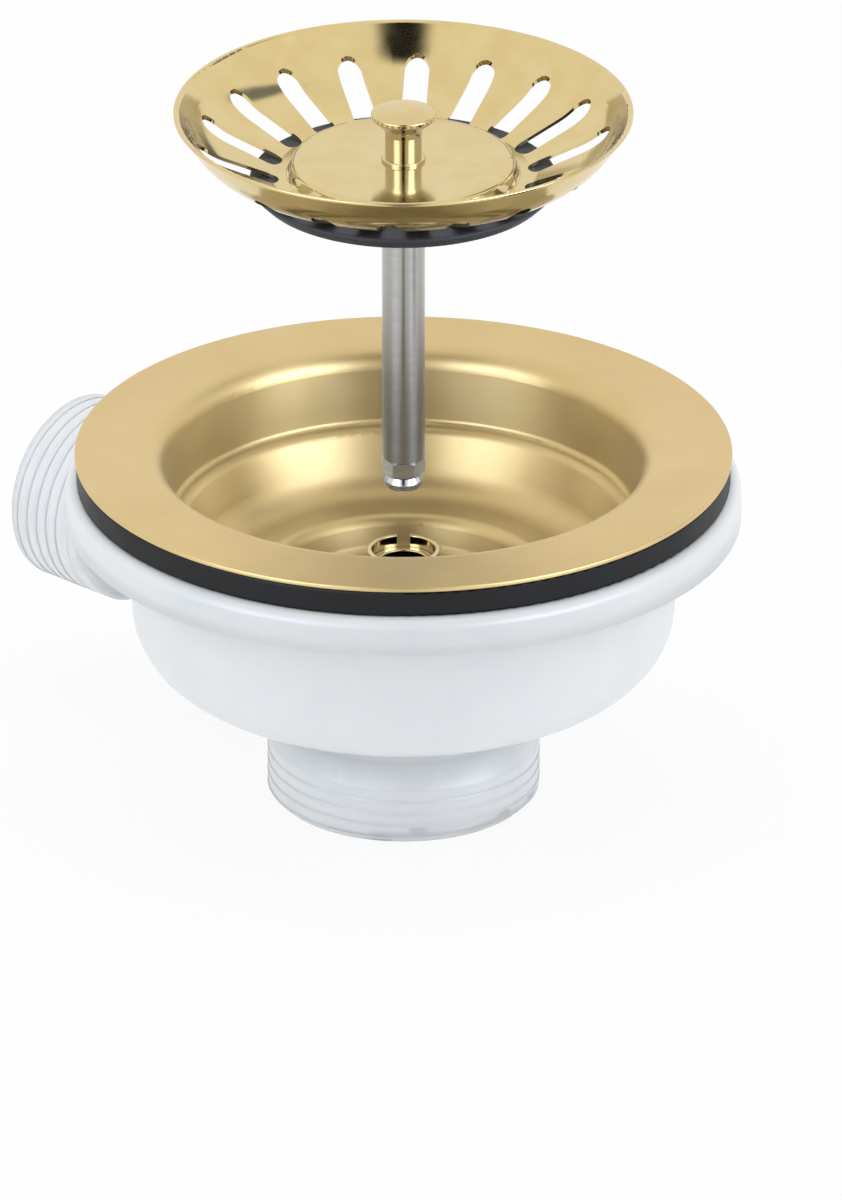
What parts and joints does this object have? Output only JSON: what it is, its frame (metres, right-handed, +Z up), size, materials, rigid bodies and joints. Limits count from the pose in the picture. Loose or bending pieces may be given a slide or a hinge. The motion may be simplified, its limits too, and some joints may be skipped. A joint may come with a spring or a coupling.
{
  "type": "basket strainer waste",
  "caption": "Sink waste with a pressed flange bowl, gasket, white moulded body with threaded outlet and side port, and a slotted basket plug drawn up on its stem.",
  "frame": {"origin": "on the drain's axis at the flange's underside, the plane of the sink's deck", "axes": "+Z up along the drain's axis, towards the basket; the side port points to -X and +Y"},
  "size_m": [0.1284, 0.1253, 0.13],
  "materials": {
    "satin_gold_steel": "satin gold coating",
    "polished_gold_steel": "polished gold coating",
    "polished_gold_brass": "polished gold plate",
    "plain_brass": "as turned",
    "plain_steel": "satin drawn",
    "nickel_plate": "bright nickel plate",
    "gasket_rubber": "moulded, matt",
    "seal_rubber": "moulded, matt",
    "white_polypropylene": "moulded, soft gloss"
  },
  "bodies": {
    "waste": {"flange_bowl": "satin_gold_steel", "flange_gasket": "gasket_rubber", "waste_body": "white_polypropylene", "body_nut": "plain_brass", "centre_bolt": "polished_gold_brass"},
    "guide": {"guide_bush": "polished_gold_brass"},
    "plug": {"strainer_basket": "polished_gold_steel", "basket_seal": "seal_rubber", "seal_retainer": "plain_steel", "lift_knob": "polished_gold_brass", "plug_stem": "plain_steel", "lock_nut": "nickel_plate", "adjusting_screw": "nickel_plate"}
  },
  "joints": [
    {"name": "plug_turn", "type": "hinge", "parent": "waste", "child": "guide", "pos_m": [0, 0, -0.0226], "axis": [0, 0, 1], "continuous": true},
    {"name": "plug_lift", "type": "slide", "parent": "guide", "child": "plug", "axis": [0, 0, 1], "range_m": [-0.0734, 0]}
  ]
}
